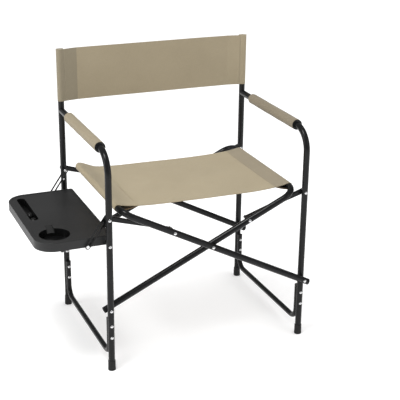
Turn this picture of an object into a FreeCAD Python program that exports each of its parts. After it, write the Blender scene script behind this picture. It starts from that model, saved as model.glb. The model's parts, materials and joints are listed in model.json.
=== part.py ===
import FreeCAD, Part
import math
import os

from FreeCAD import Vector

# Folding camp chair with a side table: two side frames, two crossing rail frames, four links.
#
# The chair is laid out about its own centre plane (x = 0), with the front at -Y, the sitter's
# right hand at -X, where the side table is, and the floor at z = 0. Every solid is then moved
# by the same step, so that the middle of the whole object's box stands on the origin.

# ---- driving dimensions, in millimetres and degrees ----
HEIGHT = 850.0            # floor to the top of the back fabric
HALF_WIDTH = 305.0        # centre plane to a leg's axis
HALF_DEPTH = 228.5        # middle of the depth to a leg's axis
TUBE_R = 9.5              # legs, arms and rail frames
TUBE_WALL = 1.2
BRACE_R = 8.0             # floor braces
GAP = 0.05                # running clearance round a pin, and between faces that meet

LEG_PIVOT_Z = 191.0       # rail frame pivots on the legs
CROSSING_Z = 350.0        # where the rail frames cross, at x = 0
LEFT_RAIL_REACH = 305.0   # crossing to a seat rail, along the tube
RIGHT_RAIL_REACH = 297.0
LINK_PIN_X = 119.0        # link pin on a rail frame's tube, from the centre plane
FOLD_DEG = 52.0           # turn of a rail frame from open to folded
TUBE_OVERHANG = 14.0      # rail frame's tube past its leg pivot
RAIL_BEND_R = 40.0

ARM_Z = 660.0             # armrest axis
ARM_BEND_R = 66.0
COVER_Y = (-160.0, 150.0)  # armrest cover, front and rear ends
FOAM_R = 14.1
COVER_R = 15.4

BRACE_TOP = 158.0
BRACE_Z = 43.0
BRACE_BEND_R = 34.0
BRACE_RIVETS_Z = (143.0, 106.0)

FOOT_R = 11.4
FOOT_HEIGHT = 30.0
FOOT_FLOOR = 3.0          # rubber under the tube's end

PIN_R = 3.0
HEAD_R = 4.7
HEAD_H = 2.6
SEAT_DEPTH = 0.7          # flat faced into a tube round each pin

# layers beside a leg, measured along +Y from the leg's axis
LEFT_RAIL_Y = -21.0       # tubes of the left rail frame, straight
RIGHT_RAIL_TOP_Y = -20.5  # tubes of the right rail frame, slanted: at the rail
RIGHT_RAIL_LOW_Y = 21.0   # and at the leg pivot
LINK_Y = (10.0, 19.0)     # front and rear faces of a link
LINK_HALF_WIDTH = 8.0
LINK_TIP_HALF = 4.2       # a link narrows to this at the pin

TABLE_HINGE_Z = 391.0
TABLE_TOP_RISE = 21.5     # hinge axis to the table's top face
TABLE_X = (-500.0, -287.0)
TABLE_HALF_LENGTH = 201.5
TABLE_SKIRT = 27.0
TABLE_SHEET = 2.6
TABLE_CORNER_R = 56.0
TABLE_INNER_CORNER_R = 7.0
CUP_AT = (-437.0, -138.0)
CUP_R = 44.0
CUP_NOTCH_END_Y = -64.0
CUP_NOTCH_WIDTH = 22.0
SLOT_AT = (-461.0, 76.0)
SLOT_LENGTH = 186.0
SLOT_WIDTH = 25.0
SLOT_DEPTH = 22.0
SLOT_KNOBS_Y = (50.0, 7.0)  # round knobs standing in the slot
SLOT_KNOB_R = 11.5
SLOT_KNOB_DROP = 3.0      # top face to a knob's top
RIB_X = -382.0            # long rib under the tray
RIBS_Y = (-150.0, -70.0, 0.0, 70.0, 150.0)
RIB_DEPTH = 12.0
BOSS_R = 5.4
STRUT_PIN_FROM_HINGE = (-56.0, -3.0)
STRUT_LAYER = (21.4, 23.4)  # near and far faces of a strut
STRUT_HALF_WIDTH = 7.5
STRUT_SLOT_HALF = 3.1
STRUT_SLOT_START = 20.0

SEAT_Y = (-208.0, 152.0)  # front and rear hems of the seat
LEFT_SLEEVE_REAR = 166.0  # the left sleeve runs on to here
SEAT_SAG = 15.0
CLOTH = 1.6
CLOTH_ON_TUBE_R = 11.1
SLEEVE_REACH = 24.0       # rail's axis to where the sleeve meets the panel
BACK_BOTTOM = 692.0
BACK_SLEEVE_REACH = 12.0   # sleeve of the back, inboard of the post's axis
BACK_SLEEVE_HALF = 7.0     # its half thickness there
BACK_PANEL_Y = 229.6      # front face of the back panel
BACK_SEAM_X = 250.0

HANDLE_X = 225.0          # carry handle, under the seat near the right rail
HANDLE_Y = (-107.0, 71.0)
HANDLE_WIDTH = 26.0
HANDLE_DROP = 24.0

# ---- the linkage, worked out ----
OPEN_ANGLE = math.atan2(CROSSING_Z - LEG_PIVOT_Z, HALF_WIDTH)
FOLDED_ANGLE = OPEN_ANGLE + math.radians(FOLD_DEG)
LOWER_REACH = math.hypot(HALF_WIDTH, CROSSING_Z - LEG_PIVOT_Z)
LINK_PIN_REACH = LINK_PIN_X / math.cos(OPEN_ANGLE)
LINK_PIN_Z = CROSSING_Z + LINK_PIN_X * math.tan(OPEN_ANGLE)
# height of the link pivot on the leg that closes the linkage both open and folded
LINK_PIVOT_Z = LEG_PIVOT_Z + (
    2 * LOWER_REACH * LINK_PIN_REACH * (math.sin(OPEN_ANGLE) + math.sin(FOLDED_ANGLE))
    / (LOWER_REACH + LINK_PIN_REACH)
)

LEG_PLANES = (-HALF_DEPTH, HALF_DEPTH)

# ---- the step that puts the middle of the object's box on the origin ----
ORIGIN_SHIFT = Vector(88.122, 0.0, 0.0)


# ---- shape helpers ----
def save(name, *solids):
    """Write one node's solids, moved to the object's origin."""
    shape = solids[0] if len(solids) == 1 else Part.makeCompound(list(solids))
    moved = shape.copy()
    moved.translate(ORIGIN_SHIFT)
    moved.exportStep("parts/" + name + ".step")


def y_rod(x, z, y_from, y_to, radius):
    """Solid cylinder along Y."""
    return Part.makeCylinder(radius, y_to - y_from, Vector(x, y_from, z), Vector(0, 1, 0))


def z_rod(x, y, z_from, z_to, radius):
    """Solid cylinder along Z."""
    return Part.makeCylinder(radius, z_to - z_from, Vector(x, y, z_from))


def rod_between(start, end, radius):
    """Solid cylinder from one point to another."""
    run = end - start
    return Part.makeCylinder(radius, run.Length, start, run)


def box(x, y, z):
    """Block between the limits of each (low, high) pair."""
    return Part.makeBox(x[1] - x[0], y[1] - y[0], z[1] - z[0], Vector(x[0], y[0], z[0]))


def rounded_path(corners, bend_r):
    """Wire through the corners, with a tangent arc at each inner one."""
    edges = []
    start = corners[0]
    for before, corner, after in zip(corners, corners[1:], corners[2:]):
        back = (before - corner).normalize()
        ahead = (after - corner).normalize()
        half = back.getAngle(ahead) / 2
        arc_start = corner + back * (bend_r / math.tan(half))
        arc_end = corner + ahead * (bend_r / math.tan(half))
        middle = corner + (back + ahead).normalize() * (bend_r / math.sin(half) - bend_r)
        edges.append(Part.LineSegment(start, arc_start).toShape())
        edges.append(Part.Arc(arc_start, middle, arc_end).toShape())
        start = arc_end
    edges.append(Part.LineSegment(start, corners[-1]).toShape())
    return Part.Wire(edges)


def bent_rod(corners, bend_r, radius):
    """Solid round bar along a rounded path."""
    section = Part.Wire([Part.makeCircle(radius, corners[0], corners[1] - corners[0])])
    return rounded_path(corners, bend_r).makePipeShell([section], True, True)


def bent_tube(corners, bend_r, radius, wall=TUBE_WALL):
    """Hollow tube along a rounded path, open at both ends."""
    return bent_rod(corners, bend_r, radius).cut(bent_rod(corners, bend_r, radius - wall))


def drilled(tube, x, z, crown_from, crown_to, clearance=GAP):
    """Tube with a pin hole along Y and a flat faced round it at each side."""
    reach = 6.0
    hole = y_rod(x, z, crown_from - reach, crown_to + reach, PIN_R + clearance)
    front = y_rod(x, z, crown_from - reach, crown_from + SEAT_DEPTH, HEAD_R + 1.4)
    rear = y_rod(x, z, crown_to - SEAT_DEPTH, crown_to + reach, HEAD_R + 1.4)
    return tube.cut(hole).cut(front).cut(rear)


def drilled_at(tube, x, z, axis_y, radius=TUBE_R):
    """Tube drilled across its own axis, which crosses the pin at axis_y."""
    return drilled(tube, x, z, axis_y - radius, axis_y + radius)


def dome(x, z, y_seat, outward):
    """Rivet head standing on a flat at y_seat, crowned towards outward (-1 or 1)."""
    sphere_r = (HEAD_R ** 2 + HEAD_H ** 2) / (2 * HEAD_H)
    centre = Vector(x, y_seat + outward * (HEAD_H - sphere_r), z)
    low, high = sorted((y_seat, y_seat + outward * (HEAD_H + 1)))
    return Part.makeSphere(sphere_r, centre).common(y_rod(x, z, low, high, HEAD_R + 1))


def rivet(x, z, front_seat, rear_seat):
    """Domed rivet whose heads sit on flats at the two seats."""
    shank = y_rod(x, z, front_seat, rear_seat, PIN_R)
    return shank.fuse([dome(x, z, front_seat, -1), dome(x, z, rear_seat, 1)])


def ring(x, z, y_from, y_to, inner_r, outer_r):
    """Flat washer or spacer along Y."""
    return y_rod(x, z, y_from, y_to, outer_r).cut(
        y_rod(x, z, y_from - 1, y_to + 1, inner_r)
    )


def mirrored(shape):
    """The same shape on the other side of the centre plane."""
    return shape.mirror(Vector(0, 0, 0), Vector(1, 0, 0))


def side_of(side, shape):
    """A shape drawn on the left (-X), placed on the side asked for."""
    return shape if side == "left" else mirrored(shape)


# ---- seats of the pins, beside a leg's axis ----
LEG_SEAT = TUBE_R - SEAT_DEPTH + GAP      # leg's own flats
LINK_TAIL_SEAT = LINK_Y[1] + GAP


# ---- side frames ----
def rear_post(side):
    """Straight post from the foot to the top of the back."""
    x = -HALF_WIDTH
    top = HEIGHT - 7.0
    post = z_rod(x, HALF_DEPTH, FOOT_FLOOR + GAP, top, TUBE_R).cut(
        z_rod(x, HALF_DEPTH, 0, HEIGHT, TUBE_R - TUBE_WALL)
    )
    pins = [LEG_PIVOT_Z, LINK_PIVOT_Z, *BRACE_RIVETS_Z]
    if side == "left":
        pins.append(TABLE_HINGE_Z)
    for z in pins:
        post = drilled_at(post, x, z, HALF_DEPTH)
    post = post.cut(y_rod(x, ARM_Z, 150, HALF_DEPTH + 20, PIN_R + GAP))
    return side_of(side, post)


def front_leg_arm(side):
    """Front leg bent back into the armrest, its end coped to the rear post."""
    x = -HALF_WIDTH
    corners = [
        Vector(x, -HALF_DEPTH, FOOT_FLOOR + GAP),
        Vector(x, -HALF_DEPTH, ARM_Z),
        Vector(x, HALF_DEPTH, ARM_Z),
    ]
    tube = bent_tube(corners, ARM_BEND_R, TUBE_R)
    tube = tube.cut(z_rod(x, HALF_DEPTH, ARM_Z - 30, ARM_Z + 30, TUBE_R + GAP))
    beyond = box((x - 20, x + 20), (HALF_DEPTH, HALF_DEPTH + 20), (ARM_Z - 20, ARM_Z + 20))
    tube = tube.cut(beyond)
    pins = [LEG_PIVOT_Z, LINK_PIVOT_Z, *BRACE_RIVETS_Z]
    if side == "left":
        pins.append(TABLE_HINGE_Z)
    for z in pins:
        tube = drilled_at(tube, x, z, -HALF_DEPTH)
    return side_of(side, largest_solid(tube))


def largest_solid(shape):
    """The main piece, where a cut leaves slivers beside it."""
    return max(shape.Solids, key=lambda solid: solid.Volume)


def brace_axis(plane):
    """Y of a brace upright: just inside the leg at this plane."""
    inward = 1 if plane < 0 else -1
    return plane + inward * (TUBE_R + BRACE_R + GAP)


def floor_brace(side):
    """U brace between the legs, its uprights inside them."""
    x = -HALF_WIDTH
    front, rear = (brace_axis(plane) for plane in LEG_PLANES)
    corners = [
        Vector(x, front, BRACE_TOP),
        Vector(x, front, BRACE_Z),
        Vector(x, rear, BRACE_Z),
        Vector(x, rear, BRACE_TOP),
    ]
    tube = bent_tube(corners, BRACE_BEND_R, BRACE_R)
    for z in BRACE_RIVETS_Z:
        for axis_y in (front, rear):
            hole = y_rod(x, z, axis_y - 12, axis_y + 12, PIN_R + GAP)
            tube = tube.cut(hole)
    return side_of(side, tube)


def brace_plugs(side):
    """Plugs in the open tops of the brace uprights."""
    x = -HALF_WIDTH
    plugs = []
    for plane in LEG_PLANES:
        y = brace_axis(plane)
        stem = z_rod(x, y, BRACE_TOP - 9, BRACE_TOP, BRACE_R - TUBE_WALL - GAP)
        head = z_rod(x, y, BRACE_TOP + GAP, BRACE_TOP + 2.4, BRACE_R - GAP)
        neck = z_rod(x, y, BRACE_TOP - 1, BRACE_TOP + 1, BRACE_R - TUBE_WALL - GAP)
        plugs.append(side_of(side, stem.fuse([neck, head])))
    return plugs


def brace_rivets(side):
    """Two rivets at each leg, through the leg and the brace's upright."""
    rivets = []
    for plane in LEG_PLANES:
        inward = 1 if plane < 0 else -1
        for z in BRACE_RIVETS_Z:
            outer = plane - inward * LEG_SEAT
            inner = brace_axis(plane) + inward * (BRACE_R + GAP)
            low, high = sorted((outer, inner))
            rivets.append(side_of(side, rivet(-HALF_WIDTH, z, low, high)))
    return rivets


def foot_cap(side, plane):
    """Rubber cap pushed on the bottom of a leg, with a slightly drafted outside."""
    x = -HALF_WIDTH
    body = Part.makeCone(FOOT_R, FOOT_R - 0.6, FOOT_HEIGHT, Vector(x, plane, 0))
    body = body.cut(z_rod(x, plane, FOOT_FLOOR, FOOT_HEIGHT + 1, TUBE_R + GAP))
    rim = [edge for edge in body.Edges if abs(edge.BoundBox.ZMax) < 0.01]
    return side_of(side, body.makeFillet(1.2, rim[:1]))


def post_plug(side):
    """Plug in the open top of a rear post."""
    x = -HALF_WIDTH
    top = HEIGHT - 7.0
    stem = z_rod(x, HALF_DEPTH, top - 14, top + 1, TUBE_R - TUBE_WALL - GAP)
    head = z_rod(x, HALF_DEPTH, top + GAP, top + 3.5, TUBE_R - GAP)
    return side_of(side, stem.fuse(head))


def arm_tube_piece(side, y_from, y_to, inner_r, outer_r):
    """Round sleeve on the armrest tube."""
    return side_of(side, ring(-HALF_WIDTH, ARM_Z, y_from, y_to, inner_r, outer_r))


def arm_screw(side):
    """Screw through the rear post into an insert in the armrest's end."""
    x = -HALF_WIDTH
    shank = y_rod(x, ARM_Z, HALF_DEPTH - 44, HALF_DEPTH + TUBE_R, PIN_R)
    head = dome(x, ARM_Z, HALF_DEPTH + TUBE_R + GAP, 1)
    collar = y_rod(x, ARM_Z, HALF_DEPTH + TUBE_R - 0.5, HALF_DEPTH + TUBE_R + 1, PIN_R)
    return side_of(side, shank.fuse([collar, head]))


def arm_insert(side):
    """Threaded plug inside the armrest's end."""
    x = -HALF_WIDTH
    insert = ring(x, ARM_Z, HALF_DEPTH - 42, HALF_DEPTH - 14, PIN_R + GAP, TUBE_R - TUBE_WALL - GAP)
    return side_of(side, insert)


def link_pivot_rivets(side):
    """Rivets at the top pivots: leg, link and, on the left, the table's strut."""
    rivets = []
    for plane in LEG_PLANES:
        front = plane - LEG_SEAT
        rear = plane + LINK_TAIL_SEAT
        if side == "left" and plane < 0:
            rear = plane + STRUT_LAYER[1] + GAP
        if side == "left" and plane > 0:
            front = plane - STRUT_LAYER[1] - GAP
        rivets.append(side_of(side, flat_rivet(-HALF_WIDTH, LINK_PIVOT_Z, front, rear, side, plane)))
    return rivets


def flat_rivet(x, z, front, rear, side, plane):
    """Domed rivet with a thin tail where the table's edge swings past."""
    if side == "left" and plane < 0:
        shank = y_rod(x, z, front, rear, PIN_R)
        return shank.fuse([dome(x, z, front, -1), y_rod(x, z, rear, rear + 1.3, HEAD_R)])
    return rivet(x, z, front, rear)


def leg_pivot_rivets(side):
    """Rivets at the lower pivots, through a leg and a rail frame's tube."""
    rivets = []
    for plane in LEG_PLANES:
        if side == "left":
            front = plane - LEG_SEAT
            rear = plane + RIGHT_RAIL_LOW_Y + LEG_SEAT
        else:
            front = plane + LEFT_RAIL_Y - LEG_SEAT
            rear = plane + LEG_SEAT
        rivets.append(rivet(side_x(side), LEG_PIVOT_Z, front, rear))
    return rivets


def side_x(side):
    """X of a side frame's legs."""
    return -HALF_WIDTH if side == "left" else HALF_WIDTH


def leg_pivot_washers(side):
    """Washers between a leg and the rail frame's tube beside it."""
    washers = []
    for plane in LEG_PLANES:
        if side == "left":
            middle = plane + RIGHT_RAIL_LOW_Y / 2
        else:
            middle = plane + LEFT_RAIL_Y / 2
        half = abs(LEFT_RAIL_Y) / 2 - TUBE_R + SEAT_DEPTH - GAP
        washers.append(
            ring(side_x(side), LEG_PIVOT_Z, middle - half, middle + half, PIN_R + GAP, HEAD_R + 0.9)
        )
    return washers


# ---- rail frames ----
def right_rail_y(plane, reach):
    """Y of the right rail frame's slanted tube, reach along it from the leg pivot."""
    slope = (RIGHT_RAIL_TOP_Y - RIGHT_RAIL_LOW_Y) / (LOWER_REACH + RIGHT_RAIL_REACH)
    return plane + RIGHT_RAIL_LOW_Y + slope * reach


def rail_frame_point(rail, plane, reach):
    """Point on a rail frame's tube, reach along it from the leg pivot."""
    drop = LOWER_REACH - reach
    x = -drop * math.cos(OPEN_ANGLE)
    z = CROSSING_Z - drop * math.sin(OPEN_ANGLE)
    if rail == "right":
        return Vector(x, right_rail_y(plane, reach), z)
    return Vector(-x, plane + LEFT_RAIL_Y, z)


def rail_frame(rail):
    """U-shaped tube: a seat rail with a long tube down from each end to the far legs."""
    whole = LOWER_REACH + (LEFT_RAIL_REACH if rail == "left" else RIGHT_RAIL_REACH)
    front, rear = LEG_PLANES
    corners = [
        rail_frame_point(rail, front, -TUBE_OVERHANG),
        rail_frame_point(rail, front, whole),
        rail_frame_point(rail, rear, whole),
        rail_frame_point(rail, rear, -TUBE_OVERHANG),
    ]
    tube = bent_tube(corners, RAIL_BEND_R, TUBE_R)
    for plane in LEG_PLANES:
        for reach in (0.0, LOWER_REACH, LOWER_REACH + LINK_PIN_REACH):
            at = rail_frame_point(rail, plane, reach)
            tube = drilled_at(tube, at.x, at.z, at.y)
    return tube


def rail_end_plugs(rail):
    """Domed plugs in the lower ends of a rail frame's tubes."""
    plugs = []
    for plane in LEG_PLANES:
        end = rail_frame_point(rail, plane, -TUBE_OVERHANG)
        inside = rail_frame_point(rail, plane, 0.0)
        inward = (inside - end).normalize()
        stem = rod_between(end - inward, end + inward * 10, TUBE_R - TUBE_WALL - GAP)
        flange = rod_between(end - inward * 2.2, end - inward * GAP, TUBE_R)
        crown = Part.makeSphere(24.0, end + inward * 20.2).common(
            rod_between(end - inward * 4.5, end - inward * 2.0, TUBE_R - 0.6)
        )
        plugs.append(stem.fuse([flange, crown]))
    return plugs


def crossing_rivets():
    """Rivets where the rail frames cross, front and rear."""
    rivets = []
    for plane in LEG_PLANES:
        front = plane + LEFT_RAIL_Y - LEG_SEAT
        rear = right_rail_y(plane, LOWER_REACH) + LEG_SEAT
        rivets.append(rivet(0.0, CROSSING_Z, front, rear))
    return rivets


def crossing_washers():
    """Thin washers between the crossing tubes."""
    washers = []
    for plane in LEG_PLANES:
        front = plane + LEFT_RAIL_Y + TUBE_R - SEAT_DEPTH + GAP
        rear = right_rail_y(plane, LOWER_REACH) - TUBE_R + SEAT_DEPTH - GAP
        washers.append(ring(0.0, CROSSING_Z, front, rear, PIN_R + GAP, HEAD_R + 0.9))
    return washers


def link_pins(rail):
    """Headed pins through a rail frame's tube, each ending just short of its link."""
    pins = []
    for plane in LEG_PLANES:
        at = rail_frame_point(rail, plane, LOWER_REACH + LINK_PIN_REACH)
        front = at.y - LEG_SEAT
        shank = y_rod(at.x, at.z, front, plane + LINK_Y[0] - 0.6, PIN_R)
        pins.append(shank.fuse(dome(at.x, at.z, front, -1)))
    return pins


def link_spacers(rail):
    """Spacer sleeves on the link pins, from the tube back to the link."""
    spacers = []
    for plane in LEG_PLANES:
        at = rail_frame_point(rail, plane, LOWER_REACH + LINK_PIN_REACH)
        front = at.y + TUBE_R - SEAT_DEPTH + GAP
        spacers.append(ring(at.x, at.z, front, plane + LINK_Y[0] - 0.4, PIN_R + GAP, 5.6))
    return spacers


# ---- links ----
def link(side, plane):
    """Flat-oval bar with rounded ends, drilled for its leg pivot."""
    pivot = Vector(-HALF_WIDTH, 0, LINK_PIVOT_Z)
    pin = Vector(-LINK_PIN_X, 0, LINK_PIN_Z)
    along = (pin - pivot).normalize()
    across = Vector(-along.z, 0, along.x)
    y = plane + LINK_Y[0]
    lift = Vector(0, y, 0)
    outline = stadium(pivot + lift, pin + lift, across, LINK_HALF_WIDTH, LINK_TIP_HALF)
    bar = Part.Face(outline).extrude(Vector(0, LINK_Y[1] - LINK_Y[0], 0))
    bar = bar.makeFillet(2.6, long_edges(bar))
    bar = bar.cut(y_rod(pivot.x, pivot.z, y - 5, y + 15, PIN_R + GAP))
    return side_of(side, bar)


def stadium(start, end, across, half_width, end_half=None):
    """Closed outline with straight sides and round ends, from start to end."""
    end_half = end_half or half_width
    along = (end - start).normalize()
    sides = [start + across * half_width, end + across * end_half]
    sides += [end - across * end_half, start - across * half_width]
    return Part.Wire([
        Part.LineSegment(sides[0], sides[1]).toShape(),
        Part.Arc(sides[1], end + along * end_half, sides[2]).toShape(),
        Part.LineSegment(sides[2], sides[3]).toShape(),
        Part.Arc(sides[3], start - along * half_width, sides[0]).toShape(),
    ])


def long_edges(bar):
    """Edges round the two flat faces of a bar that lies in an XZ plane."""
    return [edge for edge in bar.Edges if edge.BoundBox.YLength < 0.01]


def link_eyelet(side, plane):
    """Closed rivet tail at a link's free end, over the link pin."""
    y = plane + LINK_Y[1] + GAP
    head = dome(-LINK_PIN_X, LINK_PIN_Z, y, 1)
    return side_of(side, head)


# ---- side table ----
def rounded_plate(x, y, z, outer_r, inner_r):
    """Plate whose two outboard corners and two inboard corners have their own radii."""
    plate = box(x, y, z)
    outboard = [e for e in plate.Edges if e.BoundBox.ZLength > 1 and e.BoundBox.XMax < x[0] + 1]
    inboard = [e for e in plate.Edges if e.BoundBox.ZLength > 1 and e.BoundBox.XMin > x[1] - 1]
    plate = plate.makeFillet(outer_r, outboard)
    inboard = [
        e for e in plate.Edges
        if e.BoundBox.ZLength > 1 and e.BoundBox.XMin > x[1] - 1 and e.BoundBox.XLength < 0.01
        and e.BoundBox.YLength < 0.01
    ]
    return plate.makeFillet(inner_r, inboard)


TABLE_TOP_Z = TABLE_HINGE_Z + TABLE_TOP_RISE
TABLE_Y = (-TABLE_HALF_LENGTH, TABLE_HALF_LENGTH)


def table_shell():
    """Tray with a skirt all round, and a low rim round its top."""
    x = TABLE_X
    outer = rounded_plate(x, TABLE_Y, (TABLE_TOP_Z - TABLE_SKIRT, TABLE_TOP_Z), TABLE_CORNER_R,
                          TABLE_INNER_CORNER_R)
    top_edges = [e for e in outer.Edges if e.BoundBox.ZMin > TABLE_TOP_Z - 0.01]
    outer = outer.makeFillet(2.5, top_edges)
    wall = TABLE_SHEET
    inside = rounded_plate(
        (x[0] + wall, x[1] - wall),
        (TABLE_Y[0] + wall, TABLE_Y[1] - wall),
        (TABLE_TOP_Z - TABLE_SKIRT - 1, TABLE_TOP_Z - wall - 0.8),
        TABLE_CORNER_R - wall,
        TABLE_INNER_CORNER_R - wall,
    )
    rim = 9.0
    well = rounded_plate(
        (x[0] + rim, x[1] - rim),
        (TABLE_Y[0] + rim, TABLE_Y[1] - rim),
        (TABLE_TOP_Z - 0.8, TABLE_TOP_Z + 1),
        TABLE_CORNER_R - rim,
        2.0,
    )
    return outer.cut(inside).cut(well)


def notch_block(half_width, z):
    """Round-ended block from the cup's centre out to the end of its handle notch."""
    end_y = CUP_NOTCH_END_Y - half_width
    block = box((CUP_AT[0] - half_width, CUP_AT[0] + half_width), (CUP_AT[1], end_y), z)
    return block.fuse(z_rod(CUP_AT[0], end_y, z[0], z[1], half_width))


def slot_block(half_width, length, z):
    """Round-ended block along the accessory slot."""
    half_run = length / 2 - half_width
    block = box(
        (SLOT_AT[0] - half_width, SLOT_AT[0] + half_width),
        (SLOT_AT[1] - half_run, SLOT_AT[1] + half_run),
        z,
    )
    ends = [z_rod(SLOT_AT[0], SLOT_AT[1] + s * half_run, z[0], z[1], half_width) for s in (-1, 1)]
    return block.fuse(ends)


def cup_block(radius, notch_half, z):
    """Cup holder and its handle notch as one block."""
    return z_rod(*CUP_AT, *z, radius).fuse(notch_block(notch_half, z))


def handle_chute(low, above):
    """Space of the handle notch: its floor slopes up from the cup holder to the top face."""
    half = CUP_NOTCH_WIDTH / 2
    x = CUP_AT[0] - half
    outline = Part.makePolygon([
        Vector(x, CUP_AT[1], low + 2),
        Vector(x, CUP_AT[1] + CUP_R - 16, low + 2),
        Vector(x, CUP_NOTCH_END_Y - 6, TABLE_TOP_Z - 2),
        Vector(x, CUP_NOTCH_END_Y, TABLE_TOP_Z + 0.2),
        Vector(x, CUP_NOTCH_END_Y, above),
        Vector(x, CUP_AT[1], above),
        Vector(x, CUP_AT[1], low + 2),
    ])
    wedge = Part.Face(outline).extrude(Vector(2 * half, 0, 0))
    return wedge.common(notch_block(half, (low, above)))


def slot_knob(y, slot_floor):
    """Round-topped knob standing on the accessory slot's floor."""
    ball = Part.makeSphere(
        SLOT_KNOB_R, Vector(SLOT_AT[0], y, TABLE_TOP_Z - SLOT_KNOB_DROP - SLOT_KNOB_R)
    )
    return ball.common(z_rod(SLOT_AT[0], y, slot_floor - 1, TABLE_TOP_Z, SLOT_KNOB_R + 1))


def table_tray():
    """Side table moulding: tray, cup holder with a handle notch, and accessory slot."""
    bottom = TABLE_TOP_Z - TABLE_SKIRT
    slot_floor = TABLE_TOP_Z - SLOT_DEPTH
    wall = TABLE_SHEET
    under = TABLE_TOP_Z - 1.5
    above = TABLE_TOP_Z + 1
    tray = add_table_ribs(table_shell())
    tray = tray.fuse(cup_block(CUP_R + wall, CUP_NOTCH_WIDTH / 2 + wall, (bottom, under)))
    tray = tray.fuse(
        slot_block(SLOT_WIDTH / 2 + wall, SLOT_LENGTH + 2 * wall, (slot_floor - wall, under))
    )
    tray = tray.cut(z_rod(*CUP_AT, bottom + wall, above, CUP_R))
    tray = tray.cut(handle_chute(bottom + wall, above))
    tray = tray.cut(slot_block(SLOT_WIDTH / 2, SLOT_LENGTH, (slot_floor, above)))
    return tray.fuse([slot_knob(y, slot_floor) for y in SLOT_KNOBS_Y])


def add_table_ribs(tray):
    """Stiffening ribs under the tray, and bosses that turn on the hinge pins."""
    under = TABLE_TOP_Z - TABLE_SHEET - 0.4
    inner_x = TABLE_X[1] - TABLE_SHEET / 2
    inner_y = TABLE_HALF_LENGTH - TABLE_SHEET / 2
    ribs = [box((RIB_X - 1, RIB_X + 1), (-inner_y, inner_y), (under - RIB_DEPTH, under))]
    for y in RIBS_Y:
        ribs.append(box((RIB_X, inner_x), (y - 1, y + 1), (under - RIB_DEPTH, under)))
    for end in (-1, 1):
        low, high = sorted((end * (TABLE_HALF_LENGTH - 24), end * inner_y))
        ribs.append(y_rod(-HALF_WIDTH, TABLE_HINGE_Z, low, high, BOSS_R))
        ribs.append(box((-HALF_WIDTH - 3, -HALF_WIDTH + 3), (low, high), (TABLE_HINGE_Z, under)))
    for rib in ribs:
        tray = tray.fuse(rib)
    for end in (-1, 1):
        low, high = sorted((end * (TABLE_HALF_LENGTH - 22), end * (TABLE_HALF_LENGTH + 1)))
        tray = tray.cut(y_rod(-HALF_WIDTH, TABLE_HINGE_Z, low, high, PIN_R + GAP))
    return tray


def table_hinge_pins():
    """Pins through the left legs into the tray's bosses."""
    pins = []
    x, z = -HALF_WIDTH, TABLE_HINGE_Z
    front = -HALF_DEPTH - LEG_SEAT
    pins.append(y_rod(x, z, front, -TABLE_HALF_LENGTH + 21, PIN_R).fuse(dome(x, z, front, -1)))
    rear = HALF_DEPTH + LEG_SEAT
    pins.append(y_rod(x, z, TABLE_HALF_LENGTH - 21, rear, PIN_R).fuse(dome(x, z, rear, 1)))
    return pins


def table_hinge_spacers():
    """Sleeves that keep the tray midway between the legs."""
    inner = TABLE_HALF_LENGTH + 0.3
    outer = HALF_DEPTH - LEG_SEAT
    x, z = -HALF_WIDTH, TABLE_HINGE_Z
    return [
        ring(x, z, -outer, -inner, PIN_R + GAP, 5.6),
        ring(x, z, inner, outer, PIN_R + GAP, 5.6),
    ]


def strut_ends(plane):
    """The strut's pivot on the leg and its pin on the table, in the strut's plane."""
    pivot = Vector(-HALF_WIDTH, plane, LINK_PIVOT_Z)
    pin = Vector(
        -HALF_WIDTH + STRUT_PIN_FROM_HINGE[0], plane, TABLE_HINGE_Z + STRUT_PIN_FROM_HINGE[1]
    )
    return pivot, pin


def strut_layer(plane):
    """Y limits of a strut, on the table's side of a leg."""
    inward = 1 if plane < 0 else -1
    return sorted(plane + inward * face for face in STRUT_LAYER)


def table_strut(plane):
    """Flat bar from the leg to the table, with a long slot and a small ear."""
    low, high = strut_layer(plane)
    pivot, pin = strut_ends(low)
    along = (pin - pivot).normalize()
    across = Vector(-along.z, 0, along.x)
    thick = Vector(0, high - low, 0)
    bar = Part.Face(stadium(pivot, pin, across, STRUT_HALF_WIDTH)).extrude(thick)
    ear = strut_ear(plane)
    bar = bar.fuse(y_rod(ear.x, ear.z, low, high, 4.6))
    slot = Part.Face(stadium(pivot + along * STRUT_SLOT_START, pin, across, STRUT_SLOT_HALF + 0.4))
    bar = bar.cut(slot.extrude(thick))
    bar = bar.cut(y_rod(pivot.x, pivot.z, low - 1, high + 1, PIN_R + GAP))
    return bar.cut(y_rod(ear.x, ear.z, low - 1, high + 1, 1.5 + GAP))


def strut_ear(plane):
    """Centre of the ear's rivet, beside the top of the slot."""
    pivot, pin = strut_ends(plane)
    along = (pin - pivot).normalize()
    across = Vector(-along.z, 0, along.x)
    return pivot + along * 25.0 + across * 8.6


def strut_ear_rivet(plane):
    """Small rivet in the strut's ear, seen from the front."""
    ear = strut_ear(plane)
    low, high = strut_layer(plane)
    shank = y_rod(ear.x, ear.z, low - 0.5, high + 0.5, 1.5)
    near_head = y_rod(ear.x, ear.z, low - 1.2, low - GAP, 2.7)
    far_head = y_rod(ear.x, ear.z, high + GAP, high + 1.0, 2.7)
    return shank.fuse([near_head, far_head])


def strut_slide_pin(plane):
    """Button that slides in the strut's slot, over the table's own boss."""
    pin = strut_ends(plane)[1]
    low, high = strut_layer(plane)
    shank = y_rod(pin.x, pin.z, low - 1, high + 0.6, PIN_R)
    far_head = y_rod(pin.x, pin.z, high + GAP, high + 0.9, HEAD_R)
    if plane < 0:
        near_head = y_rod(pin.x, pin.z, low - 1.6, low - GAP, HEAD_R)
    else:
        near_head = dome(pin.x, pin.z, low - GAP, -1)
    return shank.fuse([near_head, far_head])


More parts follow.
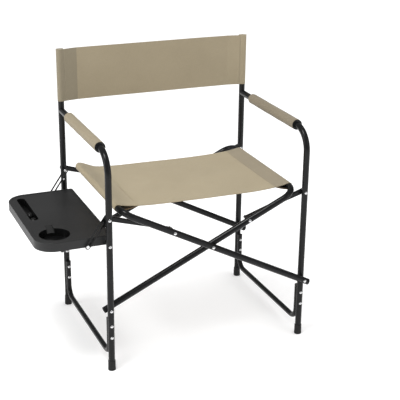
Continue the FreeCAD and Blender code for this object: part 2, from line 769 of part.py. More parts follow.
# ---- fabric, foam and straps ----
def seat_rail(side):
    """Point on a seat rail's axis, at the middle of its length."""
    reach = LEFT_RAIL_REACH if side == "left" else RIGHT_RAIL_REACH
    at = rail_frame_point(side, 0.0, LOWER_REACH + reach)
    return Vector(at.x, 0, at.z)


def seat_profile_z(x):
    """Top face of the seat panel, sagging between the rails."""
    left = seat_rail("left")
    right = seat_rail("right")
    share = (x - left.x) / (right.x - left.x)
    straight = left.z + (right.z - left.z) * share
    return straight + CLOTH_ON_TUBE_R - 4 * SEAT_SAG * share * (1 - share)


def seat_panel():
    """Sagging sheet between the sleeves of the two seat rails."""
    ends = (seat_rail("left").x + SLEEVE_REACH + 0.3, seat_rail("right").x - SLEEVE_REACH - 0.3)
    xs = (ends[0], (ends[0] + ends[1]) / 2, ends[1])
    left, middle, right = [Vector(x, SEAT_Y[0], seat_profile_z(x)) for x in xs]
    drop = Vector(0, 0, -CLOTH)
    outline = Part.Wire([
        Part.Arc(left, middle, right).toShape(),
        Part.LineSegment(right, right + drop).toShape(),
        Part.Arc(right + drop, middle + drop, left + drop).toShape(),
        Part.LineSegment(left + drop, left).toShape(),
    ])
    return Part.Face(outline).extrude(Vector(0, SEAT_Y[1] - SEAT_Y[0], 0))


def seat_sleeve(side):
    """Sleeve of the seat round its rail, closing to the panel on the inboard side."""
    rail = seat_rail(side)
    inboard = 1 if side == "left" else -1
    rear = LEFT_SLEEVE_REAR if side == "left" else SEAT_Y[1]
    wrap = y_rod(rail.x, rail.z, SEAT_Y[0], rear, CLOTH_ON_TUBE_R)
    tip_x = rail.x + inboard * SLEEVE_REACH
    tip_z = seat_profile_z(tip_x)
    outline = Part.makePolygon([
        Vector(rail.x, SEAT_Y[0], rail.z + CLOTH_ON_TUBE_R),
        Vector(tip_x, SEAT_Y[0], tip_z),
        Vector(tip_x, SEAT_Y[0], tip_z - CLOTH),
        Vector(rail.x, SEAT_Y[0], rail.z - CLOTH_ON_TUBE_R),
        Vector(rail.x, SEAT_Y[0], rail.z + CLOTH_ON_TUBE_R),
    ])
    web = Part.Face(outline).extrude(Vector(0, SEAT_Y[1] - SEAT_Y[0], 0))
    return wrap.fuse(web).cut(y_rod(rail.x, rail.z, SEAT_Y[0] - 1, rear + 1, TUBE_R + GAP))


def back_sleeve(side):
    """Sleeve of the back round its post."""
    x, y = -HALF_WIDTH, HALF_DEPTH
    wrap = z_rod(x, y, BACK_BOTTOM, HEIGHT, CLOTH_ON_TUBE_R)
    near, far = x + 2.0, x + BACK_SLEEVE_REACH
    outline = Part.makePolygon([
        Vector(near, y - CLOTH_ON_TUBE_R + 0.3, BACK_BOTTOM),
        Vector(far, y - BACK_SLEEVE_HALF, BACK_BOTTOM),
        Vector(far, y + BACK_SLEEVE_HALF, BACK_BOTTOM),
        Vector(near, y + CLOTH_ON_TUBE_R - 0.3, BACK_BOTTOM),
        Vector(near, y - CLOTH_ON_TUBE_R + 0.3, BACK_BOTTOM),
    ])
    web = Part.Face(outline).extrude(Vector(0, 0, HEIGHT - BACK_BOTTOM))
    sleeve = wrap.fuse(web).cut(z_rod(x, y, BACK_BOTTOM - 1, HEIGHT - 3.0, TUBE_R + GAP))
    return side_of(side, sleeve)


def back_panel():
    """Sheet between the back's sleeves, with its doubled hems at the sewn seams."""
    reach = HALF_WIDTH - BACK_SLEEVE_REACH - 0.3
    front, rear = HALF_DEPTH - BACK_SLEEVE_HALF, HALF_DEPTH + BACK_SLEEVE_HALF
    panel_rear = BACK_PANEL_Y + CLOTH
    corners = [
        (-reach, front), (-BACK_SEAM_X, BACK_PANEL_Y), (BACK_SEAM_X, BACK_PANEL_Y), (reach, front),
        (reach, rear), (BACK_SEAM_X, panel_rear), (-BACK_SEAM_X, panel_rear), (-reach, rear),
    ]
    points = [Vector(x, y, BACK_BOTTOM) for x, y in corners]
    outline = Part.makePolygon([*points, points[0]])
    return Part.Face(outline).extrude(Vector(0, 0, HEIGHT - BACK_BOTTOM))


def carry_handle():
    """Webbing handle hanging in a shallow bow under the seat."""
    x = (HANDLE_X - HANDLE_WIDTH / 2, HANDLE_X + HANDLE_WIDTH / 2)
    top = seat_profile_z(HANDLE_X) - CLOTH - 3.0
    low = top - HANDLE_DROP
    thick = 3.0
    run = 34.0
    front, rear = HANDLE_Y
    path = [(front - 22, top), (front, top), (front + run, low), (rear - run, low), (rear, top),
            (rear + 22, top)]
    upper = [Vector(x[0], y, z) for y, z in path]
    lower = [Vector(x[0], y, z - thick) for y, z in reversed(path)]
    outline = Part.makePolygon([*upper, *lower, upper[0]])
    return Part.Face(outline).extrude(Vector(x[1] - x[0], 0, 0))


# ---- write every node ----
def write_side_frame(side):
    """Nodes that stand still on one side frame."""
    save(side + "_rear_post", rear_post(side))
    save(side + "_front_leg_arm", front_leg_arm(side))
    save(side + "_floor_brace", floor_brace(side))
    save(side + "_brace_plugs", *brace_plugs(side))
    save(side + "_brace_rivets", *brace_rivets(side))
    save(side + "_foot_caps", *[foot_cap(side, plane) for plane in LEG_PLANES])
    save(side + "_post_plug", post_plug(side))
    save(side + "_arm_screw", arm_screw(side))
    save(side + "_arm_insert", arm_insert(side))
    front, rear = COVER_Y
    save(side + "_arm_foam", arm_tube_piece(side, front + 3, rear - 3, TUBE_R + GAP, FOAM_R))
    save(side + "_arm_cover", arm_tube_piece(side, front, rear, FOAM_R + GAP, COVER_R))
    save(side + "_arm_collar", arm_tube_piece(side, front - 2.5, front - GAP, TUBE_R + GAP, COVER_R))
    save(side + "_link_pivot_rivets", *link_pivot_rivets(side))
    save(side + "_leg_pivot_rivets", *leg_pivot_rivets(side))
    save(side + "_leg_pivot_washers", *leg_pivot_washers(side))
    save(side + "_back_sleeve", back_sleeve(side))


def write_rail_frame(rail):
    """Nodes of one seat rail frame."""
    save(rail + "_rail_frame", rail_frame(rail))
    save(rail + "_rail_end_plugs", *rail_end_plugs(rail))
    save(rail + "_link_pins", *link_pins(rail))
    save(rail + "_link_spacers", *link_spacers(rail))
    save(rail + "_seat_sleeve", seat_sleeve(rail))


def write_links(side):
    """The two links of one side."""
    for name, plane in zip(("front", "rear"), LEG_PLANES):
        save(name + "_" + side + "_link", link(side, plane), link_eyelet(side, plane))


def write_table():
    """Side table, its hinges and its two struts."""
    save("table_tray", table_tray())
    save("table_hinge_pins", *table_hinge_pins())
    save("table_hinge_spacers", *table_hinge_spacers())
    for name, plane in zip(("front", "rear"), LEG_PLANES):
        save(name + "_table_strut", table_strut(plane))
        save(name + "_strut_ear_rivet", strut_ear_rivet(plane))
        save(name + "_strut_slide_pin", strut_slide_pin(plane))


def main():
    os.makedirs("parts", exist_ok=True)
    for side in ("left", "right"):
        write_side_frame(side)
        write_rail_frame(side)
        write_links(side)
    save("crossing_rivets", *crossing_rivets())
    save("crossing_washers", *crossing_washers())
    write_table()
    save("seat_panel", seat_panel())
    save("back_panel", back_panel())
    save("carry_handle", carry_handle())


main()
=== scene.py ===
import json
import math

import bpy
from mathutils import Matrix, Vector, noise


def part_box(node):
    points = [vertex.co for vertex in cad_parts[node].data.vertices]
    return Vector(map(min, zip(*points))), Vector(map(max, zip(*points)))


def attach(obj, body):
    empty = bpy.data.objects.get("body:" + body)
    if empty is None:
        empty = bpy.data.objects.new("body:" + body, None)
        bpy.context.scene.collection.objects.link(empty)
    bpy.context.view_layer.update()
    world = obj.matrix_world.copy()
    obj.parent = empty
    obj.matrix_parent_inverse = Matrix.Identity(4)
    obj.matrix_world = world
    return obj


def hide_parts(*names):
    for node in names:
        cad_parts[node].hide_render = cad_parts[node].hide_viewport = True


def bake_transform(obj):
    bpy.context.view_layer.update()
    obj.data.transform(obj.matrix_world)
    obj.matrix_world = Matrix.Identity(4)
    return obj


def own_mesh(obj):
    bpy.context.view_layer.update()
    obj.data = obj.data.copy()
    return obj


# Looks of a folding camp chair: fabric slings, padded arms, strap, materials, light and camera.
# Metres, +Z up, front of the seat at -Y, side table at -X.

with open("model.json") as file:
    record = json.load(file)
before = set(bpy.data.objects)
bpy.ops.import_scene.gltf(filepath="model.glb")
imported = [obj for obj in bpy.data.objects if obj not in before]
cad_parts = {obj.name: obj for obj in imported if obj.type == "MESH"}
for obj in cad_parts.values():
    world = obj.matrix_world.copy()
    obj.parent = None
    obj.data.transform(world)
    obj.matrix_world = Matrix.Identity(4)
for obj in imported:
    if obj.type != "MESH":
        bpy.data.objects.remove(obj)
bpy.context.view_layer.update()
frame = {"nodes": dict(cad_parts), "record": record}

MM = 0.001
CLOTH_ON_TUBE = 11.1 * MM   # a tube's axis to the outside of the CAD sleeve round it

# ---- seat: places read from the frame, and sizes ----
left_rail_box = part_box("left_seat_sleeve")
right_rail_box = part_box("right_seat_sleeve")
LEFT_RAIL_Z = left_rail_box[0].z + CLOTH_ON_TUBE
RIGHT_RAIL_Z = right_rail_box[0].z + CLOTH_ON_TUBE
LEFT_RAIL_X = left_rail_box[0].x + CLOTH_ON_TUBE
RIGHT_RAIL_X = right_rail_box[1].x - CLOTH_ON_TUBE
HALF_SEAT = (RIGHT_RAIL_X - LEFT_RAIL_X) / 2
SEAT_FRONT = right_rail_box[0].y + 2.6 * MM
SEAT_REAR = right_rail_box[1].y
SEAT_RISE = 10.9 * MM       # a rail's axis to the seat's top face
SEAT_SLEEVE_R = 11.0 * MM
SEAT_SLEEVE_LOW = 10.1 * MM
SEAT_SAG = 15.0 * MM
SAG_POWER = 5.0             # how flat the sag is in the middle
SEAT_SEAM = 60 * MM         # left rail to its seam
RIGHT_SEAM = 44 * MM        # right rail to its seam
SEAM_HALF = 3 * MM          # seam to each of its two rows of stitches
SEAT_HEM = 11 * MM
LEFT_SLEEVE_LONGER = 34 * MM
RAIL_BEND_Y = 168 * MM      # where the left rail starts to bend down
RAIL_BEND_R = 40 * MM
RAIL_SLOPE = math.atan2(159, 305)

# ---- back: places read from the frame, and sizes ----
left_post_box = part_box("left_back_sleeve")
right_post_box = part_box("right_back_sleeve")
POST_Y = (left_post_box[0].y + left_post_box[1].y) / 2
LEFT_POST_X = left_post_box[0].x + CLOTH_ON_TUBE
RIGHT_POST_X = right_post_box[1].x - CLOTH_ON_TUBE
MID_X = (LEFT_POST_X + RIGHT_POST_X) / 2
BACK_LOW = left_post_box[0].z
BACK_HIGH = left_post_box[1].z
BACK_OVER = 1.6 * MM        # the cloth's rise over the CAD back's top edge
BACK_UNDER = 1.8 * MM       # and its drop below the bottom edge
BACK_SPLIT = 12 * MM        # post to where the sleeve piece meets the sling
BACK_SEAM = 55 * MM
BACK_HEM = 10 * MM
BACK_SLEEVE_R = 10.4 * MM
WRAP_START = 4.0 * MM       # post to where the cloth leaves the tube
HEM_FADE = 2.5 * MM
SEAM_WIDTH = 2.2 * MM

# ---- table pockets, from the tray's outer edge and its top ----
CUP_IN = 63 * MM
CUP_Y = -138 * MM
CUP_R = 44.6 * MM
NOTCH_HALF = 11.6 * MM
NOTCH_Y = (-100 * MM, -90 * MM)
SLOT_IN = 39 * MM
SLOT_Y = 76 * MM
SLOT_HALF = (13.0 * MM, 93.5 * MM)
POCKET_DEPTH = (24.6 * MM, 0.6 * MM)

left_arm_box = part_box("left_arm_cover")
right_arm_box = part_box("right_arm_cover")


# ---- node material helpers ----
class Shader:
    """Small helper that builds one procedural material node by node."""

    def __init__(self, name):
        self.material = bpy.data.materials.new(name)
        self.material.use_nodes = True
        self.tree = self.material.node_tree
        self.main = self.tree.nodes["Principled BSDF"]

    def node(self, kind, **settings):
        made = self.tree.nodes.new(kind)
        for key, value in settings.items():
            setattr(made, key, value)
        return made

    def link(self, a, b):
        self.tree.links.new(a, b)

    def coords(self, uv=False):
        made = self.node("ShaderNodeTexCoord")
        return made.outputs["UV" if uv else "Object"]

    def noise(self, where, scale, detail=3.0, rough=0.55, stretch=None):
        if stretch:
            mapping = self.node("ShaderNodeMapping")
            mapping.inputs["Scale"].default_value = stretch
            self.link(where, mapping.inputs["Vector"])
            where = mapping.outputs["Vector"]
        made = self.node("ShaderNodeTexNoise")
        made.inputs["Scale"].default_value = scale
        made.inputs["Detail"].default_value = detail
        made.inputs["Roughness"].default_value = rough
        self.link(where, made.inputs["Vector"])
        return made.outputs["Fac"]

    def math(self, kind, a, b=None, c=None):
        made = self.node("ShaderNodeMath", operation=kind)
        for slot, value in enumerate((a, b, c)):
            if value is None:
                continue
            if isinstance(value, (int, float)):
                made.inputs[slot].default_value = value
            else:
                self.link(value, made.inputs[slot])
        return made.outputs[0]

    def ramp(self, value, stops):
        made = self.node("ShaderNodeValToRGB")
        points = made.color_ramp.elements
        while len(points) < len(stops):
            points.new(0.5)
        for point, (position, color) in zip(points, stops):
            point.position = position
            point.color = (*color, 1.0)
        self.link(value, made.inputs["Fac"])
        return made.outputs["Color"]

    def spread(self, value, low, high, to_low, to_high):
        made = self.node("ShaderNodeMapRange")
        for slot, number in zip(("From Min", "From Max", "To Min", "To Max"), (low, high, to_low, to_high)):
            made.inputs[slot].default_value = number
        self.link(value, made.inputs["Value"])
        return made.outputs["Result"]

    def mix(self, share, a, b):
        made = self.node("ShaderNodeMix", data_type="RGBA")
        for slot, value in ((0, share), (6, a), (7, b)):
            if isinstance(value, tuple):
                made.inputs[slot].default_value = (*value, 1.0)
            elif isinstance(value, (int, float)):
                made.inputs[slot].default_value = value
            else:
                self.link(value, made.inputs[slot])
        return made.outputs[2]

    def bump(self, height, depth, strength=1.0):
        made = self.node("ShaderNodeBump")
        made.inputs["Strength"].default_value = strength
        made.inputs["Distance"].default_value = depth
        self.link(height, made.inputs["Height"])
        self.link(made.outputs["Normal"], self.main.inputs["Normal"])

    def paint(self, **sockets):
        for name, value in sockets.items():
            socket = self.main.inputs[name.replace("_", " ")]
            if isinstance(value, tuple):
                socket.default_value = (*value, 1.0)
            elif isinstance(value, (int, float)):
                socket.default_value = value
            else:
                self.link(value, socket)
        return self.material


def powder_coat():
    """Glossy black powder coat with a fine orange peel and faint scuffs."""
    s = Shader("powder_coat_black")
    where = s.coords()
    cloud = s.noise(where, 18.0, 3.0)
    scuffs = s.noise(where, 160.0, 5.0, 0.7)
    worn = s.math("MULTIPLY", s.spread(scuffs, 0.60, 0.72, 0.0, 1.0), s.spread(cloud, 0.5, 0.62, 0.0, 1.0))
    paint = s.ramp(cloud, [(0.3, (0.0058, 0.0059, 0.0062)), (0.75, (0.0092, 0.0094, 0.0098))])
    color = s.mix(worn, paint, (0.024, 0.024, 0.025))
    s.bump(s.noise(where, 900.0, 2.0), 0.00009, 0.5)
    rough = s.math("ADD", s.spread(cloud, 0.3, 0.7, 0.20, 0.29), s.math("MULTIPLY", worn, 0.22))
    s.paint(Coat_Weight=0.10, Coat_Roughness=0.05)
    return s.paint(Base_Color=color, Roughness=rough, Specular_IOR_Level=0.15)


def moulded_plastic(name, dark, light, grain, depth, rough):
    """Moulded plastic with a fine spark-eroded grain."""
    s = Shader(name)
    where = s.coords()
    cloud = s.noise(where, 9.0, 4.0)
    fine = s.noise(where, grain, 2.0, 0.6)
    color = s.mix(s.spread(fine, 0.3, 0.7, 0.0, 0.35), s.ramp(cloud, [(0.3, dark), (0.72, light)]), light)
    s.bump(fine, depth, 0.6)
    roughness = s.spread(fine, 0.3, 0.7, rough - 0.06, rough + 0.08)
    return s.paint(Base_Color=color, Roughness=roughness, Specular_IOR_Level=0.28)


def bright_steel():
    """Zinc-plated rivet steel with fine turned marks."""
    s = Shader("rivet_steel_bright")
    where = s.coords()
    cloud = s.noise(where, 260.0, 4.0)
    fine = s.noise(where, 2400.0, 2.0)
    color = s.ramp(cloud, [(0.3, (0.62, 0.62, 0.63)), (0.7, (0.82, 0.82, 0.83))])
    s.bump(fine, 0.00003, 0.5)
    return s.paint(Base_Color=color, Metallic=1.0, Roughness=s.spread(cloud, 0.3, 0.7, 0.16, 0.32))


def oxford_cloth(name, dark, light):
    """Oxford polyester: a basket weave in metres of cloth, with slubs and soft shade changes."""
    s = Shader(name)
    where = s.coords(uv=True)
    split = s.node("ShaderNodeSeparateXYZ")
    s.link(where, split.inputs[0])
    u, v = split.outputs[0], split.outputs[1]
    turn = math.tau / (0.95 * MM)
    warp = s.math("SINE", s.math("MULTIPLY", u, turn))
    weft = s.math("SINE", s.math("MULTIPLY", v, turn))
    check = s.math("MULTIPLY", warp, weft)
    over_u = s.math("SINE", s.math("MULTIPLY", u, turn / 2))
    over_v = s.math("SINE", s.math("MULTIPLY", v, turn / 2))
    over = s.math("MULTIPLY", over_u, over_v)
    weave = s.math("ADD", s.math("MULTIPLY", check, 0.5), s.math("MULTIPLY", over, 0.6))
    slub_a = s.noise(where, 1.0, 3.0, 0.6, stretch=(60.0, 1400.0, 1.0))
    slub_b = s.noise(where, 1.0, 3.0, 0.6, stretch=(1400.0, 60.0, 1.0))
    slub = s.math("MULTIPLY", s.math("ADD", slub_a, slub_b), 0.5)
    cloud = s.noise(where, 7.0, 4.0, 0.6)
    patch = s.math("ADD", s.math("MULTIPLY", cloud, 0.30), s.spread(weave, -1.1, 1.1, -0.06, 0.14))
    tone = s.math("ADD", s.math("MULTIPLY", slub, 0.55), patch)
    color = s.ramp(tone, [(0.28, dark), (0.62, light)])
    s.bump(s.math("ADD", weave, s.math("MULTIPLY", slub, 1.2)), 0.00012, 0.55)
    s.paint(Sheen_Weight=0.12, Sheen_Roughness=0.5)
    return s.paint(Base_Color=color, Roughness=0.86, Specular_IOR_Level=0.25)


def webbing_cloth():
    """Black woven webbing with a cross rib."""
    s = Shader("webbing_black")
    where = s.coords(uv=True)
    split = s.node("ShaderNodeSeparateXYZ")
    s.link(where, split.inputs[0])
    rib = s.math("SINE", s.math("MULTIPLY", split.outputs[0], math.tau / (1.6 * MM)))
    cord = s.math("SINE", s.math("MULTIPLY", split.outputs[1], math.tau / (2.2 * MM)))
    height = s.math("ADD", s.math("MULTIPLY", rib, 0.6), s.math("MULTIPLY", cord, 0.5))
    tone = s.spread(height, -1.1, 1.1, 0.0, 1.0)
    color = s.ramp(tone, [(0.1, (0.006, 0.006, 0.007)), (0.9, (0.028, 0.028, 0.030))])
    s.bump(height, 0.0002, 0.7)
    return s.paint(Base_Color=color, Roughness=0.78)


def thread_cloth(name, color):
    """Sewing thread."""
    s = Shader(name)
    shade = s.noise(s.coords(), 900.0, 2.0)
    darker = tuple(c * 0.75 for c in color)
    s.bump(shade, 0.00005, 0.5)
    return s.paint(Base_Color=s.ramp(shade, [(0.3, darker), (0.7, color)]), Roughness=0.7)


FRAME_PAINT = powder_coat()
TABLE = moulded_plastic(
    "table_plastic_grey", (0.014, 0.0142, 0.0145), (0.020, 0.0203, 0.0206), 1500.0, 0.00005, 0.42
)
# darker copy of the tray plastic: painted shade inside the cup holder, its notch and the accessory slot
TABLE_POCKET_SHADE_PLASTIC = moulded_plastic(
    "table_plastic_pocket_shade", (0.0035, 0.0035, 0.0036), (0.006, 0.006, 0.0062), 1500.0, 0.00003, 0.30
)
CAP = moulded_plastic(
    "cap_plastic_black", (0.005, 0.005, 0.0053), (0.009, 0.009, 0.0093), 1800.0, 0.00004, 0.36
)
NYLON = moulded_plastic(
    "nylon_black", (0.008, 0.008, 0.008), (0.014, 0.014, 0.014), 1800.0, 0.00003, 0.42
)
RUBBER = moulded_plastic(
    "foot_rubber_black", (0.006, 0.006, 0.006), (0.011, 0.011, 0.011), 1100.0, 0.00008, 0.62
)
FOAM = moulded_plastic(
    "foam_black", (0.008, 0.008, 0.008), (0.015, 0.015, 0.015), 700.0, 0.0003, 0.9
)
STEEL = bright_steel()
BEIGE = oxford_cloth("oxford_beige", (0.262, 0.218, 0.140), (0.336, 0.282, 0.186))
# slightly darker copy of the seat cloth: painted shade on the back sling and the right back sleeve
BACK_SHADED_CLOTH = oxford_cloth("oxford_beige_back_shaded", (0.245, 0.205, 0.137), (0.314, 0.266, 0.182))
# darker copy of the seat cloth: painted shade on the band beside the right rail
SEAT_BAND_SHADE_CLOTH = oxford_cloth("oxford_beige_band_shaded", (0.205, 0.172, 0.118), (0.262, 0.222, 0.153))
# darker copy of the back cloth: painted shade on the back's left zone and the left back sleeve
SHADE = oxford_cloth("oxford_beige_shade", (0.194, 0.167, 0.117), (0.249, 0.216, 0.153))
# darker copies of the seat cloth for the arm pads: painted shade, heavier on the right pad
ARM_LEFT_SHADE_CLOTH = oxford_cloth("oxford_beige_arm_left_shaded", (0.205, 0.170, 0.112), (0.262, 0.220, 0.147))
ARM_RIGHT_SHADE_CLOTH = oxford_cloth("oxford_beige_arm_right_shaded", (0.165, 0.138, 0.096), (0.211, 0.178, 0.125))
REVERSE = oxford_cloth("oxford_reverse", (0.228, 0.176, 0.138), (0.298, 0.234, 0.186))
# dark brown copy of the reverse: painted shade on the under layer inside the seat sleeves
SLEEVE_UNDER_SHADE_CLOTH = oxford_cloth("oxford_reverse_shaded", (0.105, 0.068, 0.032), (0.145, 0.096, 0.048))
WEBBING = webbing_cloth()
THREAD = thread_cloth("thread_beige", (0.44, 0.375, 0.255))

BY_SLOT = {
    "frame_paint": FRAME_PAINT,
    "table_plastic": TABLE,
    "cap_plastic": CAP,
    "nylon": NYLON,
    "foot_rubber": RUBBER,
    "foam": FOAM,
    "rivet_steel": STEEL,
    "fabric": BEIGE,
    "webbing": WEBBING,
}
for part in frame["record"]["subparts"]:
    shown = frame["nodes"][part["node"]]
    shown.data.materials.clear()
    shown.data.materials.append(BY_SLOT[part["material_slot"]])

TRAY_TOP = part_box("table_tray")[1].z
TRAY_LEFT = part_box("table_tray")[0].x


def in_pocket(p):
    """True inside the cup holder, its notch or the accessory slot of the tray."""
    x = p.x - TRAY_LEFT
    holder = math.hypot(x - CUP_IN, p.y - CUP_Y) < CUP_R
    notch = abs(x - CUP_IN) < NOTCH_HALF and NOTCH_Y[0] < p.y < NOTCH_Y[1]
    slot = abs(x - SLOT_IN) < SLOT_HALF[0] and abs(p.y - SLOT_Y) < SLOT_HALF[1]
    deep, shallow = POCKET_DEPTH
    return (holder or notch or slot) and TRAY_TOP - deep < p.z < TRAY_TOP - shallow


def repaint(piece, slot, chosen):
    """Gives the faces whose centre is chosen another material slot."""
    for face in piece.data.polygons:
        if chosen(face.center):
            face.material_index = slot


tray = frame["nodes"]["table_tray"]
tray.data.materials.append(TABLE_POCKET_SHADE_PLASTIC)
# the faces inside the pockets take the darker plastic as painted shade
repaint(tray, 1, lambda c: in_pocket(tray.matrix_world @ c))


# ---- mesh helpers ----
def add_object(name, data):
    """New object that holds the data, in the scene."""
    made = bpy.data.objects.new(name, data)
    bpy.context.collection.objects.link(made)
    return made


def grid_piece(name, points, flat, materials, flip=False):
    """Mesh of quads through points[i][j]; flat[i][j] is the same place on the cut cloth."""
    rows = len(points)
    columns = len(points[0])
    faces = []
    for i in range(rows - 1):
        for j in range(columns - 1):
            a = i * columns + j
            b = a + columns
            faces.append((a, a + 1, b + 1, b) if flip else (a, b, b + 1, a + 1))
    mesh = bpy.data.meshes.new(name)
    mesh.from_pydata([tuple(p) for row in points for p in row], [], faces)
    uv = mesh.uv_layers.new(name="UVMap")
    places = [place for row in flat for place in row]
    for loop in mesh.loops:
        uv.data[loop.index].uv = places[loop.vertex_index]
    for face in mesh.polygons:
        face.use_smooth = True
    for material in materials:
        mesh.materials.append(material)
    return add_object(name, mesh)


def thicken(piece, thickness, offset=-1.0, reverse=0, even=True):
    """Gives a sheet its thickness, thicker where its hem group is full."""
    solid = piece.modifiers.new("cloth", "SOLIDIFY")
    solid.thickness = thickness
    solid.offset = offset
    solid.use_even_offset = even
    solid.material_offset = reverse
    if "hem" in piece.vertex_groups:
        solid.vertex_group = "hem"
        solid.thickness_vertex_group = 0.55


def hem_group(piece, share):
    """Vertex group of the folded hems, from a share for each vertex."""
    group = piece.vertex_groups.new(name="hem")
    for index, value in enumerate(share):
        group.add([index], value, "REPLACE")


def steps(low, high, count):
    """Evenly spaced values from low to high, both included."""
    return [low + (high - low) * i / (count - 1) for i in range(count)]


def eased(t):
    """Smooth step from 0 to 1 as t goes from 0 to 1."""
    t = min(1.0, max(0.0, t))
    return t * t * (3 - 2 * t)


def dip(distance):
    """Shape of the groove that a seam pulls into cloth, 1 on the seam."""
    return math.exp(-((distance / SEAM_WIDTH) ** 2))


def stitches(name, runs, long=2.6 * MM, gap=1.3 * MM, r=0.34 * MM):
    """One mesh of short raised threads along each run of points; runs hold (points, outward)."""
    ring = 6
    verts = []
    faces = []
    for points, outward in runs:
        cursor = 0.0
        for a, b in zip(points, points[1:]):
            span = (b - a).length
            along = (b - a).normalized()
            side = along.cross(outward).normalized()
            up = side.cross(along).normalized()
            while cursor + long < span:
                start = a + along * cursor
                base = len(verts)
                for share, size in ((0.0, 0.35), (0.2, 1.0), (0.8, 1.0), (1.0, 0.35)):
                    middle = start + along * (long * share)
                    for turn in range(ring):
                        angle = math.tau * turn / ring
                        verts.append(middle + (side * math.cos(angle) + up * math.sin(angle)) * (r * size))
                for ring_at in range(3):
                    for turn in range(ring):
                        one = base + ring_at * ring + turn
                        two = base + ring_at * ring + (turn + 1) % ring
                        faces.append((one, two, two + ring, one + ring))
                faces.append(tuple(base + turn for turn in reversed(range(ring))))
                faces.append(tuple(base + 3 * ring + turn for turn in range(ring)))
                cursor += long + gap
            cursor = max(0.0, cursor - span)
    mesh = bpy.data.meshes.new(name)
    mesh.from_pydata([tuple(v) for v in verts], [], faces)
    for face in mesh.polygons:
        face.use_smooth = True
    mesh.materials.append(THREAD)
    made = add_object(name, mesh)
    return made


# ---- seat sling ----
def rail_height(inboard):
    """Height of the line from the left rail's centre to the right one's."""
    return LEFT_RAIL_Z + (RIGHT_RAIL_Z - LEFT_RAIL_Z) * inboard / (2 * HALF_SEAT)


def seat_top(inboard, y):
    """Height of the seat's top face, this far inboard of the left rail's centre."""
    across = (inboard - HALF_SEAT) / HALF_SEAT
    edge = min(y - SEAT_FRONT, SEAT_REAR - y)
    slack = SEAT_SAG * (1.0 - 0.12 * math.exp(-max(0.0, edge) / (40 * MM)))
    sag = slack * (1.0 - min(1.0, abs(across)) ** SAG_POWER)
    wave = noise.noise(Vector((inboard * 9.0, y * 13.0, 0.4))) * MM * min(1.0, max(0.0, inboard) / 0.1)
    nearest = min(abs(inboard - SEAT_SEAM), abs(2 * HALF_SEAT - RIGHT_SEAM - inboard))
    return rail_height(inboard) + SEAT_RISE - sag + wave - 0.5 * MM * dip(nearest)


def sleeve_under(rail_z, band, seam_at):
    """Sleeve profile, as x and z from the rail: from its seam, under the rail, up to the top.

    The seam is band away from this rail, and seam_at inboard of the left one.
    """
    path = []
    sag = SEAT_SAG * (1.0 - ((HALF_SEAT - band) / HALF_SEAT) ** SAG_POWER)
    seam_z = rail_height(seam_at) - rail_z - sag + SEAT_RISE
    for t in steps(0.0, 1.0, 12):
        x = band * (1 - t) + 5.0 * MM * t
        droop = math.sin(math.pi * t) * 1.2 * MM
        z = (seam_z - 1.5 * MM) * (1 - t) - SEAT_SLEEVE_LOW * t - droop
        path.append((x, z))
    for angle in steps(math.radians(-66), math.radians(-262), 19)[1:]:
        path.append((SEAT_SLEEVE_R * math.cos(angle), SEAT_SLEEVE_R * math.sin(angle)))
    return path


def hem_y(inboard, t):
    """Front to rear run of the cloth at t; the left sleeve runs on round the rail's bend."""
    reach = SEAT_REAR - SEAT_FRONT
    longer = LEFT_SLEEVE_LONGER * (1.0 - eased((inboard - 4 * MM) / (46 * MM)))
    return SEAT_FRONT + reach * t + longer * eased((t - 0.86) / 0.14)


def round_bend(p):
    """Carries a point past the straight part of the left rail down along its bend."""
    past = max(0.0, p.y - RAIL_BEND_Y)
    if past == 0.0:
        return p
    drop = RAIL_BEND_R - math.sqrt(max(0.0, RAIL_BEND_R ** 2 - min(past, 0.98 * RAIL_BEND_R) ** 2))
    return Vector((p.x + drop * math.cos(RAIL_SLOPE), p.y, p.z - drop * math.sin(RAIL_SLOPE)))


def is_underneath(c):
    """True for a place on the under layer of a sleeve, between the rails."""
    if c.z > LEFT_RAIL_Z - 2 * MM:
        return False
    if abs(c.x - RIGHT_RAIL_X + HALF_SEAT) > HALF_SEAT - 6 * MM:
        return False
    return c.z < seat_top(c.x - LEFT_RAIL_X, c.y) - 1.2 * MM


def seat_rows():
    """Rows of points across the seat, from the front hem to the rear one."""
    left_under = sleeve_under(LEFT_RAIL_Z, SEAT_SEAM, SEAT_SEAM)
    right_under = sleeve_under(RIGHT_RAIL_Z, RIGHT_SEAM, 2 * HALF_SEAT - RIGHT_SEAM)
    rows = []
    inboard = steps(2 * MM, 2 * HALF_SEAT - 2 * MM, 121)
    for share in steps(0.0, 1.0, 85):
        t = 0.5 - 0.5 * math.cos(math.pi * share) * (1 - 0.25 * math.sin(math.pi * share))
        line = []
        for x, z in left_under:
            line.append(round_bend(Vector((LEFT_RAIL_X + x, hem_y(x, t), LEFT_RAIL_Z + z))))
        for x in inboard:
            y = hem_y(x, t)
            line.append(round_bend(Vector((LEFT_RAIL_X + x, y, seat_top(x, y)))))
        for x, z in reversed(right_under):
            line.append(Vector((RIGHT_RAIL_X - x, hem_y(HALF_SEAT, t), RIGHT_RAIL_Z + z)))
        rows.append(line)
    return rows


def laid_flat(line):
    """Places of one row of points on the cut cloth."""
    run = 0.0
    places = [(0.0, line[0].y)]
    for a, b in zip(line, line[1:]):
        run += (b - a).length
        places.append((run, b.y))
    return places


